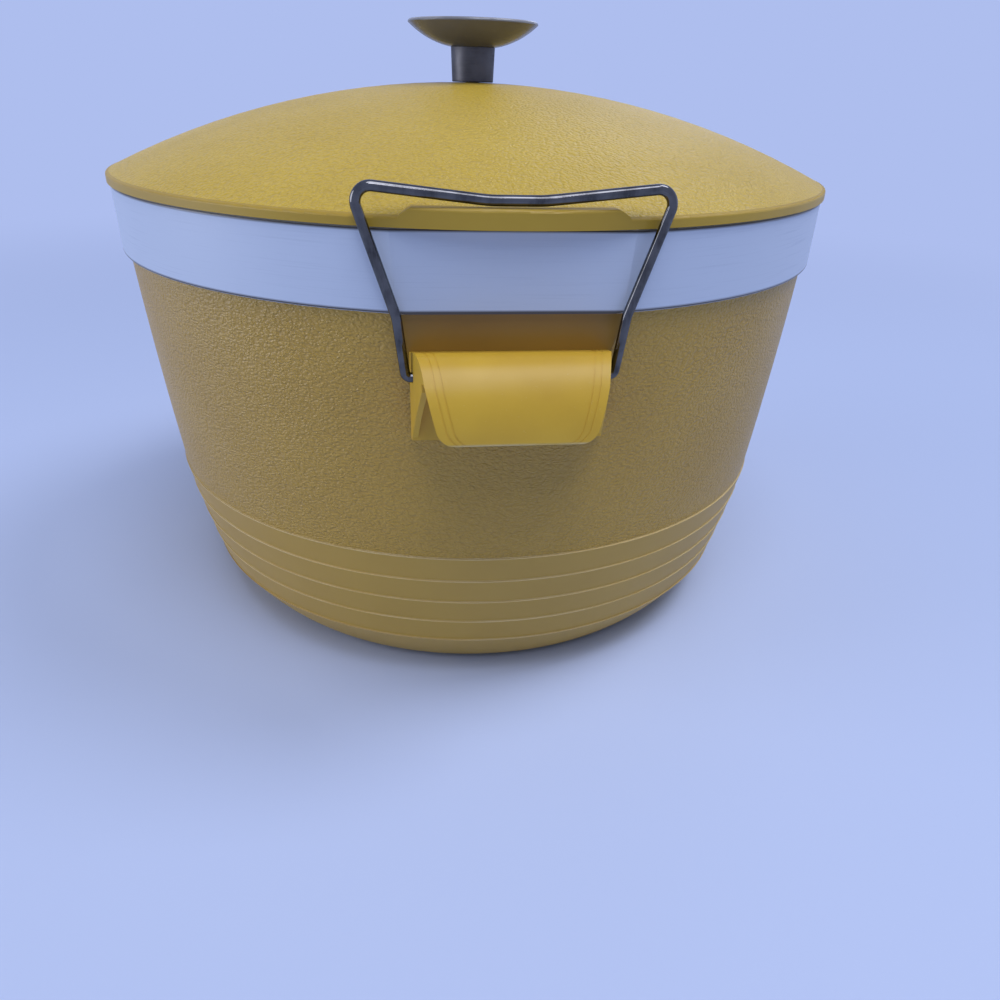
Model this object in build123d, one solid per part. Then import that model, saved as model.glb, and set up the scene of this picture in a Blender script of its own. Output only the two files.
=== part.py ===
from build123d import *
import math
import os

# A round insulated serving dish. It stands on Z 0 with its axis on Z, and its two latches face -Y and +Y.

# Shared gaps
overrun = 4.0  # how far every cut runs past its piece
seam = 0.25  # glue line or skin around the foam
seat_gap = 0.2  # lid resting on the rim
fit_gap = 0.1  # pieces screwed face to face
pivot_clearance = 0.08  # wire foot turning in its hole
thread_clearance = 0.05

# Outer shell
shell_top_radius = 127.8
shell_wall = 2.4
shoulder_drop = 7.0  # how much the radius falls from the band to the first ring
wall_bow = 0.5  # outward bow of the grained wall
ring_count = 5
ring_pitch = 9.7
ring_base_height = 19.8  # lowest ring
ring_inset = 8.8  # how much the radius falls from the first ring to the last
ring_curve_power = 1.17
ring_ledge = 0.45
ring_edge_round = 0.2
foot_inset = 19.5
foot_width = 8.0
foot_recess = 2.0
base_wall = 2.6
base_round_shares = ((0.3, 0.0), (0.66, 0.5))  # handles of the curve under the last ring
collar_inset = 0.3  # shell's top edge, tucked under the white band
collar_rise = 13.5

# Flats behind the two handles
flat_depth = 4.0
flat_height = 38.5  # from the band down

# Inner liner with its white outer band
body_height = 161.0
band_height = 22.0
band_proud = 2.5
band_draft = 0.4
liner_wall = 2.2
rim_width = 14.0
rim_round = 0.8
floor_foam = 7.2
liner_taper = 10.0
liner_corner = 18.0

# Lid
lid_overhang = 0.9
lip_height = 2.8
lip_width = 6.0
lip_round = 0.8
dome_rise = 29.2
lid_wall = 2.4
plug_gap = 1.6
plug_depth = 10.2
plug_taper = 0.6
plug_round = 2.0
lid_liner_wall = 2.0
lid_foam_inset = 5.0  # foam stops short of the glued flange
boss_radius = 7.0

# Strike pads on the lid, under the bails
pad_rise = 2.2
pad_half_length = 26.5
pad_end_run = 3.5
pad_depth = 8.0

# Knob
post_foot_radius = 7.65
post_top_radius = 8.1
post_height = 11.3
post_round = 0.4
dish_radius = 23.7
dish_neck_radius = 8.3
dish_height = 8.4
dish_hollow = 3.2
dish_rim = 1.0
dish_belly_shares = (0.6, 0.37)  # middle of the underside curve

# Knob screw and washer
screw_radius = 2.5
screw_head_radius = 4.6
screw_head_height = 2.5
screw_grip = 3.4  # thread inside the knob
washer_radius = 7.4
washer_thickness = 0.9
washer_pocket_gap = 0.8

# Handles
ridge_drop = 8.6  # ridge below the band
ridge_reach = 8.5  # ridge out from the flat
web_drop = 2.2
flap_reach = 22.8
flap_drop = 21.1
flap_wall = 2.2
flap_bow_shares = ((0.56, 0.0), (0.96, 0.44))  # handles of the flap's curve
flap_edge_round = 0.8
flap_corner = 6.0
handle_half_width = 26.5  # at the ridge
handle_flare = 1.3  # sides spread from the ridge back to the flat
handle_lip_half_width = 20.6
handle_brow_shares = (0.37, 0.69, 0.29)  # bend in the sides: of the taper, the reach and the drop to the lip
handle_plate = 2.2
handle_plate_height = 25.4
cheek_wall = 1.6
cheek_foot = 1.6
cheek_reach = 15.5
cheek_front_drop = 8.4
border_inset = 2.4  # fine lines along the flap's side edges
border_pitch = 1.9
border_count = 2
border_width = 0.5
border_depth = 0.12

# Handle screws
handle_screw_radius = 1.75
handle_screw_head_radius = 3.4
handle_screw_head_height = 2.0
handle_screw_spacing = 24.0
handle_screw_drop = 19.5  # below the band
handle_screw_grip = 5.0
handle_boss_wall = 2.0

# Bails
wire_radius = 1.4
pivot_drop = 16.7  # below the band
pivot_reach = 4.2  # out from the flat
bail_side_gap = 1.75  # middle of the wire's foot out from the handle's side
bail_foot_grip = 7.4
bail_knee_spread = 1.95  # knee out from the foot
bail_knee_reach = 4.8
bail_knee_drop = 0.2  # below the band's foot
bail_top_half_width = 41.6
bail_top_reach = 4.4
bail_top_rise = 3.7  # crossbar's ends above its dip
bail_dip_half_width = 7.0
wire_seat_gap = 0.4  # clears the strike pad as the bail swings off
bail_foot_bend = 1.6
bail_knee_bend = 9.0
bail_corner_bend = 3.8
bail_dip_bend = 40.0

# Heights and radii that follow
band_foot = body_height - band_height
band_radius = shell_top_radius + band_proud
mouth_radius = band_radius - rim_width
lid_radius = band_radius + lid_overhang
lid_seat = body_height + seat_gap
lip_top = lid_seat + lip_height
flat_offset = shell_top_radius - flat_depth
flat_foot = band_foot - flat_height
band_flat_offset = flat_offset + seam + liner_wall
shoulder_radius = shell_top_radius - shoulder_drop
foot_radius = shoulder_radius - ring_inset - foot_inset
floor_top = foot_recess + base_wall
vessel_floor = floor_top + floor_foam + liner_wall
collar_top = band_foot + collar_rise
handle_root_half_width = handle_half_width + handle_flare
brow_half_width = handle_half_width - (handle_half_width - handle_lip_half_width) * handle_brow_shares[0]
brow_reach = ridge_reach + (flap_reach - ridge_reach) * handle_brow_shares[1]
brow_drop = flap_drop * handle_brow_shares[2]
pivot_half_width = handle_half_width + handle_flare * (1 - pivot_reach / ridge_reach)
bail_foot_half_width = pivot_half_width + bail_side_gap
bail_knee_half_width = bail_foot_half_width + bail_knee_spread

dome_edge_radius = lid_radius - lip_round
dome_radius = (dome_edge_radius**2 + dome_rise**2) / (2 * dome_rise)
dome_centre = lip_top + dome_rise - dome_radius


def dome_height(radius, inset=0.0):
    return dome_centre + math.sqrt((dome_radius - inset) ** 2 - radius**2)


def ring_places():
    places = []
    for i in range(ring_count):
        share = i / (ring_count - 1)
        radius = shoulder_radius - ring_inset * share**ring_curve_power
        places.append((radius, ring_base_height + (ring_count - 1 - i) * ring_pitch))
    return places


def rounded(corners, closed=False):
    """Edges along a list of (point, radius) with each corner rounded to its radius."""
    count = len(corners)
    entries, leaves, arcs = [], [], []
    for i, (point, radius) in enumerate(corners):
        here = Vector(*point)
        inner = closed or 0 < i < count - 1
        if not radius or not inner:
            entries.append(here)
            leaves.append(here)
            continue
        back = (Vector(*corners[i - 1][0]) - here).normalized()
        ahead = (Vector(*corners[(i + 1) % count][0]) - here).normalized()
        half = math.radians(back.get_angle(ahead)) / 2
        entries.append(here + back * (radius / math.tan(half)))
        leaves.append(here + ahead * (radius / math.tan(half)))
        middle = here + (back + ahead).normalized() * (radius / math.sin(half) - radius)
        arcs.append((i, ThreePointArc(entries[-1], middle, leaves[-1])))
    bends = dict(arcs)
    edges = []
    for i in range(count):
        if i in bends:
            edges.append(bends[i])
        if i < count - 1 or closed:
            edges.append(Line(leaves[i], entries[(i + 1) % count]))
    return edges


def corner_arc(start, centre, end):
    """An arc about a centre, from start to end the short way."""
    a, c, b = Vector(*start), Vector(*centre), Vector(*end)
    middle = c + ((a + b) * 0.5 - c).normalized() * (a - c).length
    return ThreePointArc(a, middle, b)


def turned(edges):
    return revolve(Plane.XZ * make_face(edges), axis=Axis.Z)


def turned_outline(corners):
    return turned(rounded(corners, closed=True))


def slab(half_depth):
    """Everything between two upright planes that face the latches."""
    size = 2 * (lid_radius + overrun)
    return Pos(0, 0, body_height / 2) * Box(size, 2 * half_depth, 2 * body_height)


def rear(piece):
    return piece.rotate(Axis.Z, 180)


def both_ends(piece):
    return [piece, rear(piece)]


# Planes for one latch: seen from its side, and seen from above
side_plane = Plane(origin=(0, -flat_offset, 0), x_dir=(0, -1, 0), z_dir=(-1, 0, 0))
plan_plane = Plane(origin=(0, -flat_offset, 0), x_dir=(1, 0, 0), z_dir=(0, 0, -1))


def side_prism(edges):
    """A shape seen from the latch's side, (out from the flat, height), drawn out across the handle."""
    return extrude(side_plane * make_face(edges), handle_root_half_width + overrun, both=True)


def plan_prism(inset):
    """The handle's outline from above, drawn in from its two sides, through the whole height."""
    side = [
        (handle_root_half_width - inset, 0),
        (handle_half_width - inset, ridge_reach),
        (brow_half_width - inset, brow_reach),
        (brow_half_width - inset, flap_reach + overrun),
    ]
    corners = side + [(-x, reach) for x, reach in reversed(side)]
    face = plan_plane * make_face(Polyline(*corners, close=True))
    return extrude(face, body_height, both=True)


# The outer shell

def shell_outline(inset, floor, top):
    """Turned outline of the shell's outside, or of its inside when drawn in by the wall."""
    rings = ring_places()
    ledge = 0 if inset else ring_ledge
    start = Vector(foot_radius, floor)
    low_radius, low_height = rings[-1]
    low = Vector(low_radius + ledge - inset, low_height)
    handles = []
    for run_share, rise_share in base_round_shares:
        run = (low.X - start.X) * run_share
        rise = (low.Y - start.Y) * rise_share
        handles.append(start + Vector(run, rise))
    edges = [Line((0, floor), start), Bezier(start, *handles, low)]
    corners = []
    for radius, height in reversed(rings):
        if ledge:
            corners.append(((radius + ledge, height), ring_edge_round))
        corners.append(((radius - inset, height), 0))
    edges += rounded(corners)
    shoulder = Vector(rings[0][0] - inset, rings[0][1])
    brow = Vector(shell_top_radius - inset, band_foot)
    bow = (shoulder + brow) * 0.5 + Vector(wall_bow, 0)
    edges.append(ThreePointArc(shoulder, bow, brow))
    collar = Vector(brow.X - (0 if inset else collar_inset), brow.Y)
    if not inset:
        edges.append(Line(brow, collar))
    edges += [Line(collar, (collar.X, top)), Line((collar.X, top), (0, top)), Line((0, top), (0, floor))]
    return turned(edges)


def flat_blocks(offset, foot, top):
    """Blocks outside the two flats, between two heights."""
    depth = lid_radius - offset
    width = 2 * math.sqrt(lid_radius**2 - offset**2)
    block = Box(width, depth, top - foot, align=(Align.CENTER, Align.MAX, Align.MIN))
    return both_ends(Pos(0, -offset, foot) * block)


def handle_screw_places():
    height = band_foot - handle_screw_drop
    return [(-handle_screw_spacing / 2, height), (handle_screw_spacing / 2, height)]


def handle_screw_bars(radius, start, end):
    """Bars along the handle screws of both latches, from start to end out from the flat."""
    bars = []
    for x, z in handle_screw_places():
        bar = Plane(origin=(x, -flat_offset - start, z), z_dir=(0, -1, 0)) * Cylinder(
            radius, end - start, align=(Align.CENTER, Align.CENTER, Align.MIN)
        )
        bars += both_ends(bar)
    return bars


def outer_shell():
    body = shell_outline(0, 0, collar_top)
    body -= flat_blocks(flat_offset, flat_foot, collar_top + overrun)
    hollow = shell_outline(shell_wall, floor_top, collar_top + overrun)
    hollow -= flat_blocks(flat_offset - shell_wall, flat_foot - shell_wall, collar_top + 2 * overrun)
    body -= hollow
    recess_radius = foot_radius - foot_width
    body -= Cylinder(recess_radius, 2 * foot_recess)
    body -= handle_screw_bars(handle_screw_radius + fit_gap, -shell_wall - overrun, overrun)
    return body


# The liner, one moulding with the cup inside and the white band outside

def cup_solid(grow, top):
    floor_radius = mouth_radius - liner_taper + grow
    floor = vessel_floor - grow
    slope = liner_taper / (body_height - vessel_floor)
    corners = [
        ((0, floor), 0),
        ((floor_radius, floor), liner_corner + grow),
        ((floor_radius + slope * (top - floor), top), 0),
        ((0, top), 0),
    ]
    return turned_outline(corners)


def band_inner_radius():
    return shell_top_radius + seam


def inner_liner():
    rim = [
        ((0, band_foot), 0),
        ((band_radius - band_draft, band_foot), rim_round),
        ((band_radius, body_height), 0),
        ((0, body_height), 0),
    ]
    body = turned_outline(rim) & slab(band_flat_offset)
    rim_under = body_height - liner_wall
    space = [
        ((0, band_foot - overrun), 0),
        ((band_inner_radius(), band_foot - overrun), 0),
        ((band_inner_radius(), rim_under), rim_round),
        ((0, rim_under), 0),
    ]
    body -= turned_outline(space) & slab(band_flat_offset - liner_wall)
    body += cup_solid(liner_wall, body_height)
    body -= cup_solid(0, body_height + overrun)
    top_edges = body.edges().group_by(Axis.Z)[-1]
    return fillet(top_edges, rim_round)


def body_foam():
    top = body_height - liner_wall - seam
    solid = shell_outline(shell_wall + seam, floor_top + seam, top)
    solid &= slab(flat_offset - shell_wall - seam)
    solid -= cup_solid(liner_wall + seam, body_height + overrun)
    head_start = -shell_wall - seam - handle_screw_head_height - seam
    solid -= handle_screw_bars(handle_screw_head_radius + seam, head_start, overrun)
    return solid


# The lid

def dome_arc(inset, inner_radius, outer_radius):
    middle = (inner_radius + outer_radius) / 2
    points = [(r, dome_height(r, inset)) for r in (inner_radius, middle, outer_radius)]
    return ThreePointArc(*points)


def strike_pad():
    """A raised, flat-topped length of the lid's lip that the bail's dip rests on."""
    ring = [
        ((lid_radius - pad_depth, lid_seat + lip_height / 2), 0),
        ((lid_radius, lid_seat + lip_height / 2), 0),
        ((lid_radius, lip_top + pad_rise), lip_round),
        ((lid_radius - pad_depth, lip_top + pad_rise), 0),
    ]
    foot_half = pad_half_length + pad_end_run
    corners = [
        ((-foot_half, lid_seat), 0),
        ((foot_half, lid_seat), 0),
        ((foot_half, lip_top), pad_rise),
        ((pad_half_length, lip_top + pad_rise), pad_rise),
        ((-pad_half_length, lip_top + pad_rise), pad_rise),
        ((-foot_half, lip_top), pad_rise),
    ]
    face = Plane.XZ * make_face(rounded(corners, closed=True))
    return turned_outline(ring) & extrude(face, lid_radius + overrun)


def lid_cover():
    hole = screw_radius + fit_gap
    land = lid_radius - lip_width
    under = dome_height(land, lid_wall)
    lip_edge = (lid_radius, lip_top - lip_round)
    edges = [
        dome_arc(0, 0, dome_edge_radius),
        corner_arc((dome_edge_radius, lip_top), (dome_edge_radius, lip_top - lip_round), lip_edge),
        Line(lip_edge, (lid_radius, lid_seat)),
        Line((lid_radius, lid_seat), (land, lid_seat)),
        Line((land, lid_seat), (land, under)),
        dome_arc(lid_wall, land, 0),
        Line((0, dome_height(0, lid_wall)), (0, dome_height(0))),
    ]
    cover = turned(edges)
    cover += both_ends(strike_pad())
    below = cup_below_dome(land)
    cover -= below
    cover -= Pos(0, 0, dome_height(0)) * Cylinder(hole, 2 * (lid_wall + overrun))
    return cover


def cup_below_dome(land):
    """The space under the dome inside the lip's land."""
    edges = [
        dome_arc(lid_wall, 0, land),
        Line((land, dome_height(land, lid_wall)), (land, lid_seat - overrun)),
        Line((land, lid_seat - overrun), (0, lid_seat - overrun)),
        Line((0, lid_seat - overrun), (0, dome_height(0, lid_wall))),
    ]
    return turned(edges)


def plug_foot():
    return lid_seat - plug_depth


def pocket_roof():
    return plug_foot() + screw_head_height + washer_thickness + washer_pocket_gap


def pocket_radius():
    return washer_radius + washer_pocket_gap


def lid_liner():
    bore = screw_radius + fit_gap
    plug = mouth_radius - plug_gap
    flange = lid_radius - lip_width - seam
    wall = lid_liner_wall
    boss_top = dome_height(boss_radius, lid_wall) - seam
    corners = [
        ((bore, pocket_roof()), 0),
        ((pocket_radius(), pocket_roof()), 0),
        ((pocket_radius(), plug_foot()), 0),
        ((plug - plug_taper, plug_foot()), plug_round),
        ((plug, lid_seat), 0),
        ((flange, lid_seat), 0),
        ((flange, lid_seat + wall), 0),
        ((plug - wall, lid_seat + wall), 0),
        ((plug - plug_taper - wall, plug_foot() + wall), plug_round),
        ((pocket_radius() + wall, plug_foot() + wall), 0),
        ((pocket_radius() + wall, pocket_roof() + wall), 0),
        ((boss_radius, pocket_roof() + wall), 0),
        ((boss_radius, boss_top), 0),
        ((bore, boss_top), 0),
    ]
    return turned_outline(corners)


def lid_foam():
    wall = lid_liner_wall + seam
    plug = mouth_radius - plug_gap
    edge = lid_radius - lip_width - lid_foam_inset
    inner = boss_radius + seam
    shoulder = pocket_radius() + wall
    corners = [
        ((inner, dome_height(inner, lid_wall + seam)), 0),
        ((inner, pocket_roof() + wall), 0),
        ((shoulder, pocket_roof() + wall), 0),
        ((shoulder, plug_foot() + wall), 0),
        ((plug - plug_taper - wall, plug_foot() + wall), plug_round),
        ((plug - wall, lid_seat + wall), 0),
        ((edge, lid_seat + wall), 0),
        ((edge, dome_height(edge, lid_wall + seam)), 0),
    ]
    edges = rounded(corners)
    edges.append(dome_arc(lid_wall + seam, edge, inner))
    return turned(edges)


# The knob, its post, screw and washer

def post_foot():
    return dome_height(0) + fit_gap / 2


def post_top():
    return post_foot() + post_height


def knob_post():
    bore = screw_radius + fit_gap
    corners = [
        ((bore, post_foot()), 0),
        ((post_foot_radius, post_foot()), post_round),
        ((post_top_radius, post_top()), 0),
        ((bore, post_top()), 0),
    ]
    return turned_outline(corners)


def knob_dish():
    foot = post_top() + fit_gap
    run_share, rise_share = dish_belly_shares
    belly = (dish_neck_radius + (dish_radius - dish_neck_radius) * run_share, foot + dish_height * rise_share)
    rim_foot = foot + dish_height - dish_rim
    rim_top = foot + dish_height
    hollow = rim_top - dish_hollow
    lip = (dish_radius - dish_rim, rim_top)
    sphere = (lip[0] ** 2 + dish_hollow**2) / (2 * dish_hollow)
    middle = (lip[0] / 2, hollow + sphere - math.sqrt(sphere**2 - (lip[0] / 2) ** 2))
    edges = [
        Line((0, foot), (dish_neck_radius, foot)),
        ThreePointArc((dish_neck_radius, foot), belly, (dish_radius, rim_foot)),
        corner_arc((dish_radius, rim_foot), (dish_radius - dish_rim, rim_foot), lip),
        ThreePointArc(lip, middle, (0, hollow)),
        Line((0, hollow), (0, foot)),
    ]
    dish = turned(edges)
    depth = screw_grip + fit_gap
    return dish - Pos(0, 0, foot) * Cylinder(screw_radius + thread_clearance, 2 * depth)


def washer_top():
    return pocket_roof() - fit_gap / 2


def knob_washer():
    corners = [
        ((screw_radius + fit_gap, washer_top() - washer_thickness), 0),
        ((washer_radius, washer_top() - washer_thickness), 0),
        ((washer_radius, washer_top()), 0),
        ((screw_radius + fit_gap, washer_top()), 0),
    ]
    return turned_outline(corners)


def knob_screw():
    head_top = washer_top() - washer_thickness - fit_gap / 2
    head_foot = head_top - screw_head_height
    tip = post_top() + fit_gap + screw_grip
    corners = [
        ((0, head_foot), 0),
        ((screw_head_radius, head_foot), screw_head_height / 2),
        ((screw_head_radius, head_top), 0),
        ((screw_radius, head_top), 0),
        ((screw_radius, tip), screw_radius / 4),
        ((0, tip), 0),
    ]
    screw = turned_outline(corners)
    slot = Box(2 * screw_head_radius, screw_head_height / 2, screw_head_height)
    return screw - Pos(0, 0, head_foot) * slot


# The handles

def flap_curve(inset):
    ridge = Vector(ridge_reach, band_foot - ridge_drop - inset)
    lip = Vector(flap_reach - inset, band_foot - ridge_drop - flap_drop)
    handles = []
    for run_share, drop_share in flap_bow_shares:
        run = (lip.X - ridge.X) * run_share
        drop = (lip.Y - ridge.Y) * drop_share
        handles.append(ridge + Vector(run, drop))
    return Bezier(ridge, *handles, lip)


def flap_skin(inset):
    """The curled flap with its web back to the shell, from its outer face to a depth."""
    outer = flap_curve(0)
    inner = flap_curve(inset)
    web_top = Vector(fit_gap, band_foot - ridge_drop - web_drop)
    web_under = web_top - Vector(0, inset)
    edges = [
        Line(web_top, outer @ 0),
        outer,
        Line(outer @ 1, inner @ 1),
        inner,
        Line(inner @ 0, web_under),
        Line(web_under, web_top),
    ]
    return side_prism(edges)


def flap_outline(inset):
    """The flap's outline from the front and from above, drawn in from its two sides."""
    ridge = band_foot - ridge_drop
    foot = ridge - flap_drop
    side = [
        ((handle_lip_half_width - inset, foot), flap_corner),
        ((brow_half_width - inset, ridge - brow_drop), 0),
        ((handle_root_half_width - inset, ridge - web_drop - flap_wall), 0),
        ((handle_root_half_width - inset, band_foot), 0),
    ]
    other = [((-x, z), radius) for (x, z), radius in reversed(side)]
    face = Plane.XZ * make_face(rounded(side + other, closed=True))
    return extrude(face, lid_radius + flap_reach + overrun) & plan_prism(inset)


def flap():
    sheet = flap_skin(flap_wall)
    lip_edges = sheet.edges().filter_by(Axis.X).group_by(Axis.Z)[0]
    body = fillet(lip_edges, flap_edge_round) & flap_outline(0)
    lines = flap_skin(border_depth)
    for i in range(border_count):
        inset = border_inset + i * border_pitch
        body -= lines & (flap_outline(inset) - flap_outline(inset + border_width))
    return body


def cheeks():
    ridge = band_foot - ridge_drop
    foot = ridge - web_drop - handle_plate_height
    corners = [
        (fit_gap, foot),
        (cheek_foot, foot),
        (cheek_reach, ridge - cheek_front_drop),
        (cheek_reach, ridge - flap_wall),
        (ridge_reach, ridge - flap_wall / 2),
        (fit_gap, ridge - web_drop - flap_wall / 2),
    ]
    wall = side_prism(Polyline(*corners, close=True))
    wall &= plan_prism(0) - plan_prism(cheek_wall)
    return wall & side_prism(cheek_outside(foot).edges())


def cheek_outside(foot):
    """All that lies behind the flap's outer curve, seen from the side."""
    curve = flap_curve(flap_wall / 2)
    ridge = curve @ 0
    lip = curve @ 1
    edges = [
        curve,
        Line(lip, (lip.X, foot - overrun)),
        Line((lip.X, foot - overrun), (0, foot - overrun)),
        Line((0, foot - overrun), (0, ridge.Y)),
        Line((0, ridge.Y), ridge),
    ]
    return make_face(edges)


def back_plate():
    top = band_foot - ridge_drop - web_drop
    foot = top - handle_plate_height
    corners = [
        (fit_gap, foot),
        (handle_plate, foot),
        (handle_plate, top - flap_wall / 2),
        (fit_gap, top - flap_wall / 2),
    ]
    return side_prism(Polyline(*corners, close=True)) & plan_prism(0)


def front_handle():
    body = flap() + cheeks() + back_plate()
    boss_end = handle_plate + handle_screw_grip
    boss_radius_out = handle_screw_radius + handle_boss_wall
    inside = side_prism(cheek_outside(0).edges())
    for bar in handle_screw_bars(boss_radius_out, fit_gap, boss_end)[::2]:
        body += bar & inside
    body -= handle_screw_bars(handle_screw_radius + thread_clearance, -fit_gap, boss_end - handle_boss_wall / 2)
    hole = Cylinder(wire_radius + pivot_clearance, 2 * (handle_root_half_width + overrun))
    body -= Pos(0, -flat_offset - pivot_reach, band_foot - pivot_drop) * Rot(0, 90, 0) * hole
    return body


def handle_screws():
    head_under = -shell_wall - fit_gap
    tip = handle_plate + handle_screw_grip - handle_boss_wall
    heads = handle_screw_bars(handle_screw_head_radius, head_under - handle_screw_head_height, head_under)
    shanks = handle_screw_bars(handle_screw_radius, head_under, tip)
    return Compound(children=[head + shank for head, shank in zip(heads, shanks)])


# The bails

def front_bail():
    dip_height = lip_top + pad_rise + wire_seat_gap + wire_radius
    top_height = dip_height + bail_top_rise
    pivot = (-flat_offset - pivot_reach, band_foot - pivot_drop)
    knee = (-flat_offset - bail_knee_reach, band_foot - bail_knee_drop)
    top = (-flat_offset - bail_top_reach, top_height)
    dip = (-flat_offset - bail_top_reach, dip_height)
    half = [
        ((bail_foot_half_width - bail_foot_grip, *pivot), 0),
        ((bail_foot_half_width, *pivot), bail_foot_bend),
        ((bail_knee_half_width, *knee), bail_knee_bend),
        ((bail_top_half_width, *top), bail_corner_bend),
        ((bail_dip_half_width, *dip), bail_dip_bend),
    ]
    other = [((-point[0], point[1], point[2]), radius) for point, radius in reversed(half)]
    path = Wire(rounded(half + other))
    section = Plane(origin=path @ 0, z_dir=path % 0) * Circle(wire_radius)
    return sweep(section, path=path)


os.makedirs("parts", exist_ok=True)
handle = front_handle()
bail = front_bail()
nodes = {
    "outer_shell": outer_shell(),
    "inner_liner": inner_liner(),
    "body_foam": body_foam(),
    "lid_cover": lid_cover(),
    "lid_liner": lid_liner(),
    "lid_foam": lid_foam(),
    "knob_post": knob_post(),
    "knob_dish": knob_dish(),
    "knob_screw": knob_screw(),
    "knob_washer": knob_washer(),
    "front_handle": handle,
    "rear_handle": rear(handle),
    "handle_screws": handle_screws(),
    "front_bail": bail,
    "rear_bail": rear(bail),
}
for name, piece in nodes.items():
    export_step(piece, f"parts/{name}.step")
    print(name, round(piece.volume, 1))
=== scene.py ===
import math
import bpy
from mathutils import Matrix, Vector


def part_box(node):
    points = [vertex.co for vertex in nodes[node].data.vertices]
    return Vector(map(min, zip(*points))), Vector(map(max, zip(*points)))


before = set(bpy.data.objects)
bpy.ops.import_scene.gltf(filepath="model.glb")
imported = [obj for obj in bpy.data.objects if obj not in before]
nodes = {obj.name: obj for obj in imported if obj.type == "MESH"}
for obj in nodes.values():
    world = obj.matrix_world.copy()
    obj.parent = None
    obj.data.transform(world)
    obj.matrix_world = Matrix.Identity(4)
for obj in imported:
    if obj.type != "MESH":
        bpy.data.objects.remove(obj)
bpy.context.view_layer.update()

mm = 0.001
noiseMiddle = (0.5, 0.5, 0.5)
scene = bpy.context.scene
print("frame loaded,", len(nodes), "nodes")


def hexColour(code):  # sRGB hex to linear RGBA
    channels = [int(code[i:i + 2], 16) / 255 for i in (1, 3, 5)]
    linear = [c / 12.92 if c <= 0.04045 else ((c + 0.055) / 1.055) ** 2.4 for c in channels]
    return (*linear, 1.0)


def addNode(tree, kind, sockets, **settings):  # a socket takes a value or another node's output
    node = tree.nodes.new("ShaderNode" + kind)
    for name, value in settings.items():
        setattr(node, name, value)
    for name, value in sockets.items():
        if isinstance(value, bpy.types.NodeSocket):
            tree.links.new(value, node.inputs[name])
        else:
            node.inputs[name].default_value = value
    return node


def startMaterial(name, roughness, metallic=0.0):
    material = bpy.data.materials.new(name)
    material.use_nodes = True
    tree = material.node_tree
    shader = tree.nodes["Principled BSDF"]
    shader.inputs["Roughness"].default_value = roughness
    shader.inputs["Metallic"].default_value = metallic
    coords = addNode(tree, "TexCoord", {}).outputs["Object"]
    return material, tree, shader, coords


def perMetre(sizeMm):  # texture scale for a pattern that repeats at this size
    return 1 / (sizeMm * mm)


def dress(material, *names):  # every face of these nodes takes this material
    for name in names:
        nodes[name].data.materials.clear()
        nodes[name].data.materials.append(material)


# Camera, fitted to the band, the rings, the base and the latch in the photograph
cameraSetup = {
    "placeMm": (-30.2, -337.0, 194.9),
    "headingDeg": 7.67,  # turned from +Y towards +X
    "pitchDeg": 27.8,  # looking down
    "rollDeg": -1.75,
    "lensMm": 28.8,
    "sensorMm": 36.0,
}


def makeCamera(setup):
    heading = math.radians(setup["headingDeg"])
    pitch = math.radians(setup["pitchDeg"])
    roll = math.radians(setup["rollDeg"])
    level = Vector((math.cos(heading), -math.sin(heading), 0))
    forward = Vector((math.sin(heading), math.cos(heading), 0)) * math.cos(pitch)
    forward.z = -math.sin(pitch)
    upright = level.cross(forward)
    right = math.cos(roll) * level - math.sin(roll) * upright
    up = math.sin(roll) * level + math.cos(roll) * upright
    data = bpy.data.cameras.new("dishCamera")
    data.lens = setup["lensMm"]
    data.sensor_width = setup["sensorMm"]
    camera = bpy.data.objects.new("dishCamera", data)
    turn = Matrix((right, up, -forward)).transposed().to_4x4()
    camera.matrix_world = Matrix.Translation(Vector(setup["placeMm"]) * mm) @ turn
    scene.collection.objects.link(camera)
    scene.camera = camera


makeCamera(cameraSetup)
print("camera placed")


# Gold moulded ABS: the mould's grain breaks the lamps into fine sparkle on the dome and the wall,
# and the lip, pads and flats are smooth and show plain soft light, darkened by painted shade
goldShell = {
    # darker than the lid's face: painted shade on the upright wall
    "face": "#BF983A",
    "shadeAndGrime": "#7A5620",  # painted shade, with some grime, in the grain's wrinkles; painted shade on lip, pads and flats; random clouding
    "worn": "#E0CC98",  # rubbed ring edges, lightened too as a painted highlight where the ledges catch light
    "grainMm": 1.15,
    "grainTall": 1.5,  # wrinkles lie a little along the wall
    "grainDepthMm": 0.4,
    "grainSoft": 0.3,
    "warpGrains": 2.4,  # size, in grains, of the noise that bends the wrinkles
    "bendGrains": 2.2,  # and how far it bends them
    "poreMm": 0.7,
    "poreShare": -0.2,  # of the grain's depth
    "wrinkleSpan": (0.3, 0.8),
    "wrinkleShade": 0.18,
    "mottleMm": 34.0,
    "cloudSpan": (0.35, 0.75),
    "cloudShade": 0.12,
    # painted shade on the smooth lip, pads and flats
    "smoothShade": 0.55,
    "grainRough": 0.32,
    "smoothRough": 0.38,
    "roughSpread": 0.12,
    "specular": 0.5,
    "lipHeightMm": 2.8,
    "lipRoundMm": 0.8,
    "plainEdgeMm": 0.4,  # the grain stops this far inside the dome's edge
    "domeSkinMm": 0.12,  # and lies this near to the dome's sphere
    "flatGapMm": 0.15,  # the wall's grain stops this far short of the handle's back
    "flatFootMm": 3.0,  # the flat ends this far under the handle
    "firstRingMm": 58.6,
    "ringPitchMm": 9.7,
    "ringCount": 5,
    "ringClearMm": 1.0,
    "edgeMm": 0.32,
    "edgeSpan": (0.3, 0.7),
    "edgeRubAndGleam": (0.3, 0.7),
}
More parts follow.
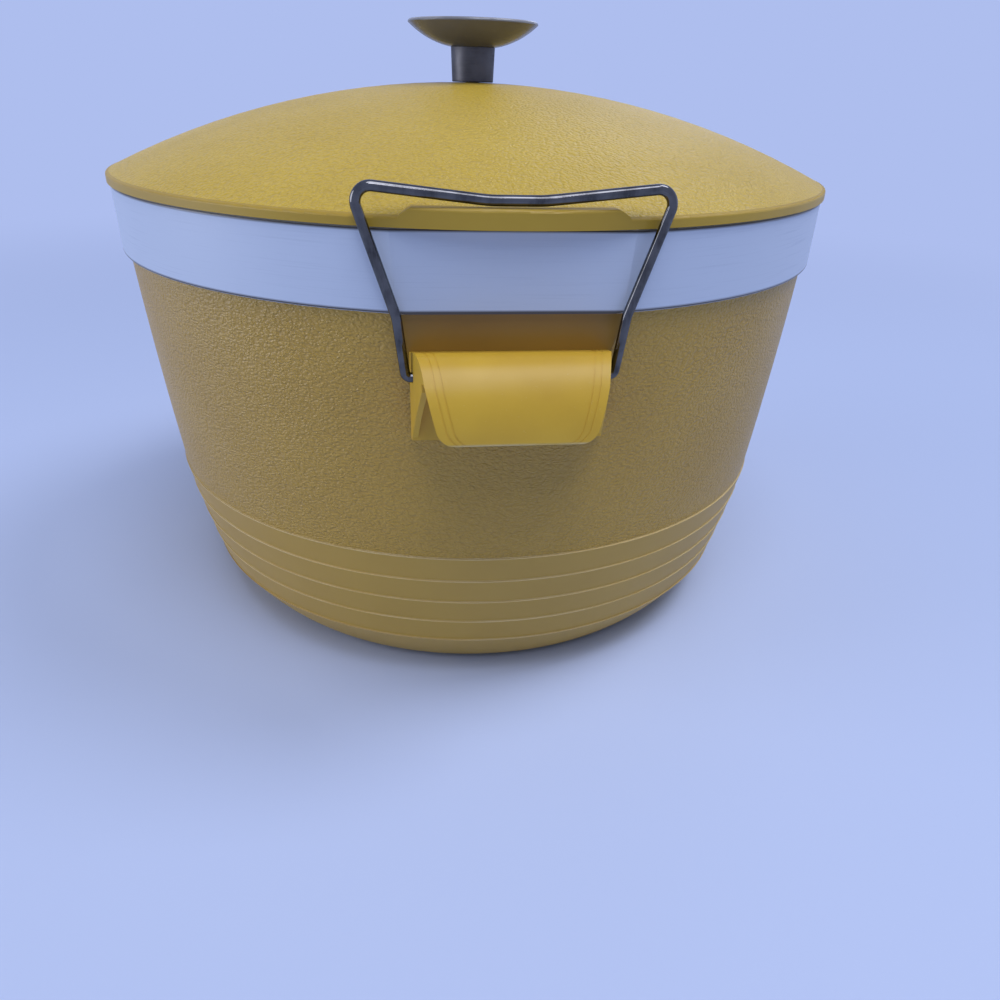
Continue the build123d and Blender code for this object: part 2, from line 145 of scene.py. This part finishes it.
# the same gold plastic as the wall; the lid's lighter face is painted light on its top
goldLid = {
    **goldShell,
    "face": "#D9B53C",
    "grainMm": 1.05,
    "grainTall": 1.0,
    "grainDepthMm": 0.45,
    "smoothShade": 0.42,
    "specular": 0.35,
}


def planReach(tree, coords):  # distance from the dish's axis
    plan = addNode(tree, "Mapping", {"Vector": coords, "Scale": (1, 1, 0)}).outputs[0]
    return addNode(tree, "VectorMath", {0: plan}, operation="LENGTH").outputs["Value"]


def domeMask(tree, coords, setup):  # 1 on the dome's own sphere, 0 on lip, pads and underside
    low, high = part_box("lid_cover")
    edge = high[0] - setup["lipRoundMm"] * mm
    rise = high[2] - low[2] - setup["lipHeightMm"] * mm
    radius = (edge * edge + rise * rise) / (2 * rise)
    centre = (0, 0, high[2] - radius)
    skin = setup["domeSkinMm"] * mm
    reach = addNode(tree, "VectorMath", {0: coords, 1: centre}, operation="DISTANCE").outputs["Value"]
    sphere = addNode(tree, "Math", {0: reach, 1: radius, 2: skin}, operation="COMPARE").outputs[0]
    limit = edge - setup["plainEdgeMm"] * mm
    plan = planReach(tree, coords)
    inner = addNode(tree, "Math", {0: plan, 1: limit}, operation="LESS_THAN").outputs[0]
    return addNode(tree, "Math", {0: sphere, 1: inner}, operation="MULTIPLY").outputs[0]


def wallMask(tree, coords, setup):  # 1 between the first ring and the band, off the two flats
    place = addNode(tree, "SeparateXYZ", {0: coords}).outputs
    ring = setup["firstRingMm"] * mm
    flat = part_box("rear_handle")[0][1] - setup["flatGapMm"] * mm
    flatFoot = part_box("rear_handle")[0][2] - setup["flatFootMm"] * mm
    above = addNode(tree, "Math", {0: place["Z"], 1: ring}, operation="GREATER_THAN").outputs[0]
    depth = addNode(tree, "Math", {0: place["Y"]}, operation="ABSOLUTE").outputs[0]
    inside = addNode(tree, "Math", {0: depth, 1: flat}, operation="LESS_THAN").outputs[0]
    under = addNode(tree, "Math", {0: place["Z"], 1: flatFoot}, operation="LESS_THAN").outputs[0]
    free = addNode(tree, "Math", {0: inside, 1: under}, operation="MAXIMUM").outputs[0]
    return addNode(tree, "Math", {0: above, 1: free}, operation="MULTIPLY").outputs[0]


def ringRubAndGleam(tree, coords, setup, breakup):  # rubbed, specked line along each ring's ledge, also a painted highlight
    height = addNode(tree, "SeparateXYZ", {0: coords}).outputs["Z"]
    edge = setup["edgeMm"] * mm
    line = 0.0
    for i in range(setup["ringCount"]):
        level = (setup["firstRingMm"] - i * setup["ringPitchMm"]) * mm
        here = addNode(tree, "Math", {0: height, 1: level, 2: edge}, operation="COMPARE").outputs[0]
        line = addNode(tree, "Math", {0: here, 1: line}, operation="MAXIMUM").outputs[0]
    low, high = setup["edgeSpan"]
    least, most = setup["edgeRubAndGleam"]
    paleMarkAndGleam = addNode(tree, "MapRange", {0: breakup, 1: low, 2: high, 3: least, 4: most}).outputs[0]
    return addNode(tree, "Math", {0: line, 1: paleMarkAndGleam}, operation="MULTIPLY").outputs[0]


def goldAbs(name, setup, maskMaker):
    material, tree, shader, coords = startMaterial(name, setup["grainRough"])
    shader.inputs["Specular IOR Level"].default_value = setup["specular"]
    mask = maskMaker(tree, coords, setup)

    tall = (1, 1, setup["grainTall"])
    stretch = addNode(tree, "Mapping", {"Vector": coords, "Scale": tall}).outputs[0]
    warpScale = perMetre(setup["warpGrains"] * setup["grainMm"])
    warp = addNode(tree, "TexNoise", {"Vector": stretch, "Scale": warpScale, "Detail": 2.0}).outputs["Color"]
    shift = addNode(tree, "VectorMath", {0: warp, 1: noiseMiddle}, operation="SUBTRACT").outputs[0]
    bend = setup["bendGrains"] * setup["grainMm"] * mm
    shift = addNode(tree, "VectorMath", {0: shift, "Scale": bend}, operation="SCALE").outputs[0]
    bent = addNode(tree, "VectorMath", {0: stretch, 1: shift}).outputs[0]
    grain = {"Vector": bent, "Scale": perMetre(setup["grainMm"]), "Smoothness": setup["grainSoft"]}
    cells = addNode(tree, "TexVoronoi", grain, feature="SMOOTH_F1").outputs["Distance"]
    poreScale = perMetre(setup["poreMm"])
    pores = addNode(tree, "TexNoise", {"Vector": coords, "Scale": poreScale, "Detail": 1.0}).outputs[0]
    height = {0: pores, 1: setup["poreShare"], 2: cells}
    height = addNode(tree, "Math", height, operation="MULTIPLY_ADD").outputs[0]
    relief = addNode(tree, "Math", {0: height, 1: mask}, operation="MULTIPLY").outputs[0]
    depth = setup["grainDepthMm"] * mm
    bump = addNode(tree, "Bump", {"Height": relief, "Strength": 1.0, "Distance": depth}, invert=True)

    mottleScale = perMetre(setup["mottleMm"])
    mottle = addNode(tree, "TexNoise", {"Vector": coords, "Scale": mottleScale, "Detail": 4.0}).outputs[0]
    # painted shade in the grain's wrinkles, with some grime, plus random clouding
    low, high = setup["wrinkleSpan"]
    deep = addNode(tree, "MapRange", {0: cells, 1: low, 2: high}).outputs[0]
    shade = addNode(tree, "Math", {0: deep, 1: mask}, operation="MULTIPLY").outputs[0]
    shade = addNode(tree, "Math", {0: shade, 1: setup["wrinkleShade"]}, operation="MULTIPLY").outputs[0]
    low, high = setup["cloudSpan"]
    cloud = addNode(tree, "MapRange", {0: mottle, 1: low, 2: high, 3: 0.0, 4: setup["cloudShade"]}).outputs[0]
    shade = addNode(tree, "Math", {0: shade, 1: cloud}).outputs[0]
    # painted shade on the smooth lip, pads and flats above the rings
    smooth = addNode(tree, "Math", {0: 1.0, 1: mask}, operation="SUBTRACT").outputs[0]
    rise = addNode(tree, "SeparateXYZ", {0: coords}).outputs["Z"]
    ringTop = (setup["firstRingMm"] + setup["ringClearMm"]) * mm
    upper = addNode(tree, "Math", {0: rise, 1: ringTop}, operation="GREATER_THAN").outputs[0]
    smooth = addNode(tree, "Math", {0: smooth, 1: upper}, operation="MULTIPLY").outputs[0]
    shade = {0: smooth, 1: setup["smoothShade"], 2: shade}
    shade = addNode(tree, "Math", shade, operation="MULTIPLY_ADD").outputs[0]
    tone = {0: shade, 6: hexColour(setup["face"]), 7: hexColour(setup["shadeAndGrime"])}
    tone = addNode(tree, "Mix", tone, data_type="RGBA").outputs[2]
    # rubbed ring edges, lightened too as a painted highlight
    edge = ringRubAndGleam(tree, coords, setup, mottle)
    tone = {0: edge, 6: tone, 7: hexColour(setup["worn"])}
    tone = addNode(tree, "Mix", tone, data_type="RGBA").outputs[2]

    rough = {0: mask, 3: setup["smoothRough"], 4: setup["grainRough"]}
    rough = addNode(tree, "MapRange", rough).outputs[0]
    rough = {0: mottle, 1: setup["roughSpread"], 2: rough}
    rough = addNode(tree, "Math", rough, operation="MULTIPLY_ADD").outputs[0]
    tree.links.new(tone, shader.inputs["Base Color"])
    tree.links.new(rough, shader.inputs["Roughness"])
    tree.links.new(bump.outputs[0], shader.inputs["Normal"])
    return material


dress(goldAbs("grainedAbsLid", goldLid, domeMask), "lid_cover")
dress(goldAbs("grainedAbsWall", goldShell, wallMask), "outer_shell")
print("grained shell dressed")


# Gloss ABS, gold on the handles and grey on the knob: smooth from the mould, so it shows soft lamps,
# faint orange peel, dust specks and pale edges: flash on the handles, rub on the knob's rim, both also a
# painted highlight
goldTrim = {
    "face": "#D8AC35",
    "dull": "#C4972D",
    # pale colour of dust specks, flash and the painted highlight
    "paleMarkAndGleam": "#E8D49A",
    "roughness": 0.32,
    "roughDrop": 0.05,
    "roughRise": 0.14,
    "specular": 0.35,
    "mottleMm": 18.0,
    "cloudSpan": (0.35, 0.75),
    "cloudShade": 0.6,
    "speckMm": 0.5,
    "speckSpan": (0.68, 0.8),
    "speckShade": 0.3,
    "peelMm": 3.0,
    "peelDepthMm": 0.02,
    "peelStrength": 0.6,
    "lipMm": 109.3,  # height of the flap's lower edge
    "paleEdgeGleamMm": 1.0,  # pale flash along that edge, also a painted highlight
    "paleEdgeGleamReachMm": 7.0,
    "nickSpan": (0.3, 0.5),
    "nickShade": (0.35, 0.9),
}
knobTrim = {
    **goldTrim,
    "face": "#6C6A69",
    "dull": "#585655",
    "paleMarkAndGleam": "#A9A7A4",
    "roughness": 0.2,
    "specular": 0.5,
    "lipMm": 213.0,  # height of the knob's rim
    "paleEdgeGleamMm": -1.0,  # rubbed, and a painted reflection, down to this far under it
}


def glossAbs(name, setup, paleEdgeGleamFrom):  # pale edge with a painted highlight at the lip's height, from this far out from the axis
    material, tree, shader, coords = startMaterial(name, setup["roughness"])
    shader.inputs["Specular IOR Level"].default_value = setup["specular"]
    mottleScale = perMetre(setup["mottleMm"])
    mottle = addNode(tree, "TexNoise", {"Vector": coords, "Scale": mottleScale, "Detail": 4.0}).outputs[0]
    speckScale = perMetre(setup["speckMm"])
    specks = addNode(tree, "TexNoise", {"Vector": coords, "Scale": speckScale, "Detail": 2.0}).outputs[0]
    low, high = setup["cloudSpan"]
    cloud = addNode(tree, "MapRange", {0: mottle, 1: low, 2: high, 3: 0.0, 4: setup["cloudShade"]}).outputs[0]
    tone = {0: cloud, 6: hexColour(setup["face"]), 7: hexColour(setup["dull"])}
    tone = addNode(tree, "Mix", tone, data_type="RGBA").outputs[2]
    low, high = setup["speckSpan"]
    dust = addNode(tree, "MapRange", {0: specks, 1: low, 2: high, 3: 0.0, 4: setup["speckShade"]}).outputs[0]

    place = addNode(tree, "SeparateXYZ", {0: coords}).outputs
    # pale edge: moulding flash on the handles, rub on the knob's rim, lightened by a painted highlight
    lip = setup["lipMm"] * mm
    paleEdgeGleamEnd = lip + setup["paleEdgeGleamMm"] * mm
    paleEdgeAndGleam = addNode(tree, "MapRange", {0: place["Z"], 1: paleEdgeGleamEnd, 2: lip}).outputs[0]
    depth = addNode(tree, "Math", {0: place["Y"]}, operation="ABSOLUTE").outputs[0]
    outer = addNode(tree, "Math", {0: depth, 1: paleEdgeGleamFrom}, operation="GREATER_THAN").outputs[0]
    low, high = setup["nickSpan"]
    least, most = setup["nickShade"]
    nicks = addNode(tree, "MapRange", {0: mottle, 1: low, 2: high, 3: least, 4: most}).outputs[0]
    paleEdgeAndGleam = addNode(tree, "Math", {0: paleEdgeAndGleam, 1: nicks}, operation="MULTIPLY").outputs[0]
    paleEdgeAndGleam = addNode(tree, "Math", {0: paleEdgeAndGleam, 1: outer}, operation="MULTIPLY").outputs[0]
    dust = addNode(tree, "Math", {0: dust, 1: paleEdgeAndGleam}, operation="MAXIMUM").outputs[0]
    tone = {0: dust, 6: tone, 7: hexColour(setup["paleMarkAndGleam"])}
    tone = addNode(tree, "Mix", tone, data_type="RGBA").outputs[2]

    peelScale = perMetre(setup["peelMm"])
    peel = addNode(tree, "TexNoise", {"Vector": coords, "Scale": peelScale, "Detail": 1.0}).outputs[0]
    peel = {"Height": peel, "Strength": setup["peelStrength"], "Distance": setup["peelDepthMm"] * mm}
    bump = addNode(tree, "Bump", peel)
    least = setup["roughness"] - setup["roughDrop"]
    most = setup["roughness"] + setup["roughRise"]
    rough = addNode(tree, "MapRange", {0: mottle, 3: least, 4: most}).outputs[0]
    tree.links.new(tone, shader.inputs["Base Color"])
    tree.links.new(rough, shader.inputs["Roughness"])
    tree.links.new(bump.outputs[0], shader.inputs["Normal"])
    return material


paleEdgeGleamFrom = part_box("rear_handle")[1][1] - goldTrim["paleEdgeGleamReachMm"] * mm
dress(glossAbs("glossAbsKnob", knobTrim, 0.0), "knob_dish")
dress(glossAbs("glossAbsHandle", goldTrim, paleEdgeGleamFrom), "front_handle", "rear_handle")
print("trim dressed")


# White polypropylene, moulded: a soft gloss with rubbed streaks round the band and dull scuffs, its white
# dulled by painted shade, and painted shade in the band's seams
whiteLiner = {
    # white dulled to a blue-grey: painted shade from the lid's overhang
    "face": "#CAD3E2",
    "scuff": "#A9B4C6",
    "seamShadeTone": "#4A4540",  # painted shade in the seams above and below the band
    "roughness": 0.34,
    "wornRough": 0.3,
    "streakMm": 0.45,  # height of a rubbed streak
    "streakRunMm": 26.0,
    "streakSpan": (0.55, 0.75),
    "streakDepthMm": 0.02,
    "streakStrength": 0.4,
    "cloudMm": 22.0,
    "scuffLeast": 0.15,
    "scuffWorn": 0.4,
    "bandFootMm": 139.0,
    "bandTopMm": 161.0,
    "seamMm": 1.2,
    "bandInsideMm": 126.0,  # the seams show outside this radius only
    "lyingSpan": (0.9, 0.5),  # and fade where a face turns to lie flat
}


def paintedSeamShade(tree, coords, setup):  # painted shade: a thin dark line along the edges of the band's outer face, in the gaps under the lid's lip and the band
    height = addNode(tree, "SeparateXYZ", {0: coords}).outputs["Z"]
    inside = setup["bandInsideMm"] * mm
    plan = planReach(tree, coords)
    outside = addNode(tree, "Math", {0: plan, 1: inside}, operation="GREATER_THAN").outputs[0]
    seam = setup["seamMm"] * mm
    foot = setup["bandFootMm"] * mm
    top = setup["bandTopMm"] * mm
    below = addNode(tree, "MapRange", {0: height, 1: foot + seam, 2: foot + seam / 2}).outputs[0]
    above = addNode(tree, "MapRange", {0: height, 1: top - seam, 2: top - seam / 2}).outputs[0]
    line = addNode(tree, "Math", {0: below, 1: above}, operation="MAXIMUM").outputs[0]
    line = addNode(tree, "Math", {0: line, 1: outside}, operation="MULTIPLY").outputs[0]
    normal = addNode(tree, "NewGeometry", {}).outputs["Normal"]
    tilt = addNode(tree, "SeparateXYZ", {0: normal}).outputs["Z"]
    tilt = addNode(tree, "Math", {0: tilt}, operation="ABSOLUTE").outputs[0]
    low, high = setup["lyingSpan"]
    upright = addNode(tree, "MapRange", {0: tilt, 1: low, 2: high}).outputs[0]
    return addNode(tree, "Math", {0: line, 1: upright}, operation="MULTIPLY").outputs[0]


def whitePolypropylene(name, setup):
    material, tree, shader, coords = startMaterial(name, setup["roughness"])
    run = perMetre(setup["streakRunMm"])
    lay = {"Vector": coords, "Scale": (run, run, perMetre(setup["streakMm"]))}
    lay = addNode(tree, "Mapping", lay).outputs[0]
    streaks = addNode(tree, "TexNoise", {"Vector": lay, "Scale": 1.0, "Detail": 3.0}).outputs[0]
    cloudScale = perMetre(setup["cloudMm"])
    cloud = addNode(tree, "TexNoise", {"Vector": coords, "Scale": cloudScale, "Detail": 5.0}).outputs[0]
    low, high = setup["streakSpan"]
    worn = addNode(tree, "MapRange", {0: streaks, 1: low, 2: high}).outputs[0]
    worn = addNode(tree, "Math", {0: worn, 1: cloud}, operation="MULTIPLY").outputs[0]
    tint = {0: worn, 1: setup["scuffWorn"], 2: setup["scuffLeast"]}
    tint = addNode(tree, "Math", tint, operation="MULTIPLY_ADD").outputs[0]
    tone = {0: tint, 6: hexColour(setup["face"]), 7: hexColour(setup["scuff"])}
    tone = addNode(tree, "Mix", tone, data_type="RGBA").outputs[2]
    # painted shade in the band's seams
    tone = {0: paintedSeamShade(tree, coords, setup), 6: tone, 7: hexColour(setup["seamShadeTone"])}
    tone = addNode(tree, "Mix", tone, data_type="RGBA").outputs[2]
    most = setup["roughness"] + setup["wornRough"]
    rough = addNode(tree, "MapRange", {0: worn, 3: setup["roughness"], 4: most}).outputs[0]
    streak = {"Height": worn, "Strength": setup["streakStrength"], "Distance": setup["streakDepthMm"] * mm}
    bump = addNode(tree, "Bump", streak, invert=True)
    tree.links.new(tone, shader.inputs["Base Color"])
    tree.links.new(rough, shader.inputs["Roughness"])
    tree.links.new(bump.outputs[0], shader.inputs["Normal"])
    return material


dress(whitePolypropylene("mouldedPolypropylene", whiteLiner), "inner_liner", "lid_liner")
print("liner dressed")


# Zinc-plated steel fasteners: pale and even. Turned aluminium post: satin with fine rings.
# Drawn steel wire: bright lines along it between patches of dark oxide
platedSteel = {
    "face": "#A6A8AA",
    "dark": "#77797C",
    "roughness": 0.3,
    "dullRough": 0.25,
    "patchMm": 3.0,
    "patchSpan": (0.4, 0.68),
    "lineMm": 0.5,
    "lineStretch": (1, 1, 1),
    "lineDepthMm": 0.01,
    "lineStrength": 0.5,
}
postMetal = {
    **platedSteel,
    "face": "#5C5A5A",
    "dark": "#3C3B3D",
    "roughness": 0.42,
    "patchMm": 9.0,
    "lineMm": 0.3,
    "lineStretch": (0.05, 0.05, 1),  # rings round the post
}
wireSteel = {
    **platedSteel,
    "face": "#656361",
    "dark": "#121112",
    "roughness": 0.06,
    "dullRough": 0.1,
    "patchMm": 5.0,
    "lineMm": 0.4,
    "lineStretch": (1, 1, 0.08),  # draw marks along the legs
}


def finishedMetal(name, setup):
    material, tree, shader, coords = startMaterial(name, setup["roughness"], 1.0)
    patchScale = perMetre(setup["patchMm"])
    patch = addNode(tree, "TexNoise", {"Vector": coords, "Scale": patchScale, "Detail": 4.0}).outputs[0]
    lay = addNode(tree, "Mapping", {"Vector": coords, "Scale": setup["lineStretch"]}).outputs[0]
    lineScale = perMetre(setup["lineMm"])
    lines = addNode(tree, "TexNoise", {"Vector": lay, "Scale": lineScale, "Detail": 2.0}).outputs[0]
    low, high = setup["patchSpan"]
    oxide = addNode(tree, "MapRange", {0: patch, 1: low, 2: high}).outputs[0]
    oxide = addNode(tree, "Math", {0: lines, 1: oxide}, operation="MULTIPLY").outputs[0]
    tone = {0: oxide, 6: hexColour(setup["face"]), 7: hexColour(setup["dark"])}
    tone = addNode(tree, "Mix", tone, data_type="RGBA").outputs[2]
    most = setup["roughness"] + setup["dullRough"]
    rough = addNode(tree, "MapRange", {0: oxide, 3: setup["roughness"], 4: most}).outputs[0]
    mark = {"Height": lines, "Strength": setup["lineStrength"], "Distance": setup["lineDepthMm"] * mm}
    bump = addNode(tree, "Bump", mark)
    tree.links.new(tone, shader.inputs["Base Color"])
    tree.links.new(rough, shader.inputs["Roughness"])
    tree.links.new(bump.outputs[0], shader.inputs["Normal"])
    return material


dress(finishedMetal("drawnSteelWire", wireSteel), "front_bail", "rear_bail")
dress(finishedMetal("turnedAluminium", postMetal), "knob_post")
dress(finishedMetal("zincPlatedSteel", platedSteel), "knob_screw", "knob_washer", "handle_screws")
print("metal dressed")


# Rigid polyurethane foam, poured in place: pale, matt and full of small cells
foamBlock = {
    "face": "#EFE6C8",
    "cell": "#C9B98C",
    "roughness": 0.9,
    "cellMm": 0.9,
    "depthMm": 0.25,
    "strength": 0.8,
}


def rigidFoam(name, setup):
    material, tree, shader, coords = startMaterial(name, setup["roughness"])
    cellScale = perMetre(setup["cellMm"])
    cells = addNode(tree, "TexVoronoi", {"Vector": coords, "Scale": cellScale}).outputs["Distance"]
    tone = {0: cells, 6: hexColour(setup["face"]), 7: hexColour(setup["cell"])}
    tone = addNode(tree, "Mix", tone, data_type="RGBA").outputs[2]
    hollow = {"Height": cells, "Strength": setup["strength"], "Distance": setup["depthMm"] * mm}
    bump = addNode(tree, "Bump", hollow)
    tree.links.new(tone, shader.inputs["Base Color"])
    tree.links.new(bump.outputs[0], shader.inputs["Normal"])
    return material


dress(rigidFoam("rigidFoam", foamBlock), "body_foam", "lid_foam")
print("foam dressed")


# Floor and room: a pale floor that keeps the shadow and fades into a backdrop of its own colour
room = {
    "backdrop": "#AEBEEE",
    "floor": "#C6D1EC",
    "floorRough": 0.7,
    "floorSpecular": 0.2,
    "floorHalf": 12.0,
    "fadeStart": 0.3,
    "fadeEnd": 1.1,
    "roomLight": "#BCCFF8",
    "roomStrength": 0.3,
}


def seenRay(tree):  # camera, glossy and transmission rays meet the backdrop
    path = addNode(tree, "LightPath", {}).outputs
    seen = {0: path["Is Camera Ray"], 1: path["Is Glossy Ray"]}
    seen = addNode(tree, "Math", seen, operation="MAXIMUM").outputs[0]
    seen = {0: seen, 1: path["Is Transmission Ray"]}
    return addNode(tree, "Math", seen, operation="MAXIMUM").outputs[0]


def makeRoom(setup):
    world = bpy.data.worlds.new("softRoom")
    scene.world = world
    world.use_nodes = True
    tree = world.node_tree
    light = tree.nodes["Background"]
    light.inputs["Color"].default_value = hexColour(setup["roomLight"])
    light.inputs["Strength"].default_value = setup["roomStrength"]
    backdrop = addNode(tree, "Background", {"Color": hexColour(setup["backdrop"]), "Strength": 1.0})
    mix = addNode(tree, "MixShader", {0: seenRay(tree), 1: light.outputs[0], 2: backdrop.outputs[0]})
    tree.links.new(mix.outputs[0], tree.nodes["World Output"].inputs["Surface"])


def makeFloor(setup):
    half = setup["floorHalf"]
    corners = [(-half, -half, 0), (half, -half, 0), (half, half, 0), (-half, half, 0)]
    mesh = bpy.data.meshes.new("floor")
    mesh.from_pydata(corners, [], [(0, 1, 2, 3)])
    floor = bpy.data.objects.new("floor", mesh)
    scene.collection.objects.link(floor)
    material, tree, shader, coords = startMaterial("mattPaint", setup["floorRough"])
    shader.inputs["Base Color"].default_value = hexColour(setup["floor"])
    shader.inputs["Specular IOR Level"].default_value = setup["floorSpecular"]
    reach = addNode(tree, "VectorMath", {0: coords}, operation="LENGTH").outputs["Value"]
    span = {0: reach, 1: setup["fadeStart"], 2: setup["fadeEnd"]}
    far = addNode(tree, "MapRange", span, interpolation_type="SMOOTHSTEP").outputs[0]
    fade = addNode(tree, "Math", {0: far, 1: seenRay(tree)}, operation="MULTIPLY").outputs[0]
    glow = addNode(tree, "Emission", {"Color": hexColour(setup["backdrop"]), "Strength": 1.0})
    mix = addNode(tree, "MixShader", {0: fade, 1: shader.outputs[0], 2: glow.outputs[0]})
    tree.links.new(mix.outputs[0], tree.nodes["Material Output"].inputs["Surface"])
    mesh.materials.append(material)


makeRoom(room)
makeFloor(room)
print("room made")


# Soft boxes: two above, a low one on each side, and two small windows that give the glints
lampAim = Vector((0, 0, 0.1))
lamps = {
    "frontLamp": {"place": (0.1, -0.8, 2.1), "size": 1.2, "watts": 19, "colour": "#E6ECFF"},
    "topLamp": {"place": (0.9, -0.1, 1.7), "size": 0.8, "watts": 11.5, "colour": "#E6ECFF"},
    "windowLamp": {"place": (0.0, -1.3, 1.45), "size": 0.4, "watts": 3, "colour": "#E6ECFF"},
    "backLamp": {"place": (0.7, 1.5, 0.9), "size": 0.5, "watts": 1, "colour": "#E6ECFF"},
    "leftLamp": {"place": (-1.5, -0.1, 0.4), "size": 1.0, "watts": 9.5, "colour": "#E6ECFF"},
    "rightLamp": {"place": (1.5, 0.2, 0.4), "size": 1.0, "watts": 1.0, "colour": "#DCE5FF"},
}
for name, setup in lamps.items():
    data = bpy.data.lights.new(name, "AREA")
    data.shape = "DISK"
    data.size = setup["size"]
    data.energy = setup["watts"]
    data.color = hexColour(setup["colour"])[:3]
    lamp = bpy.data.objects.new(name, data)
    lamp.location = setup["place"]
    lamp.rotation_euler = (lampAim - lamp.location).to_track_quat("-Z", "Y").to_euler()
    scene.collection.objects.link(lamp)
print("lamps placed")

scene.view_settings.view_transform = "Standard"
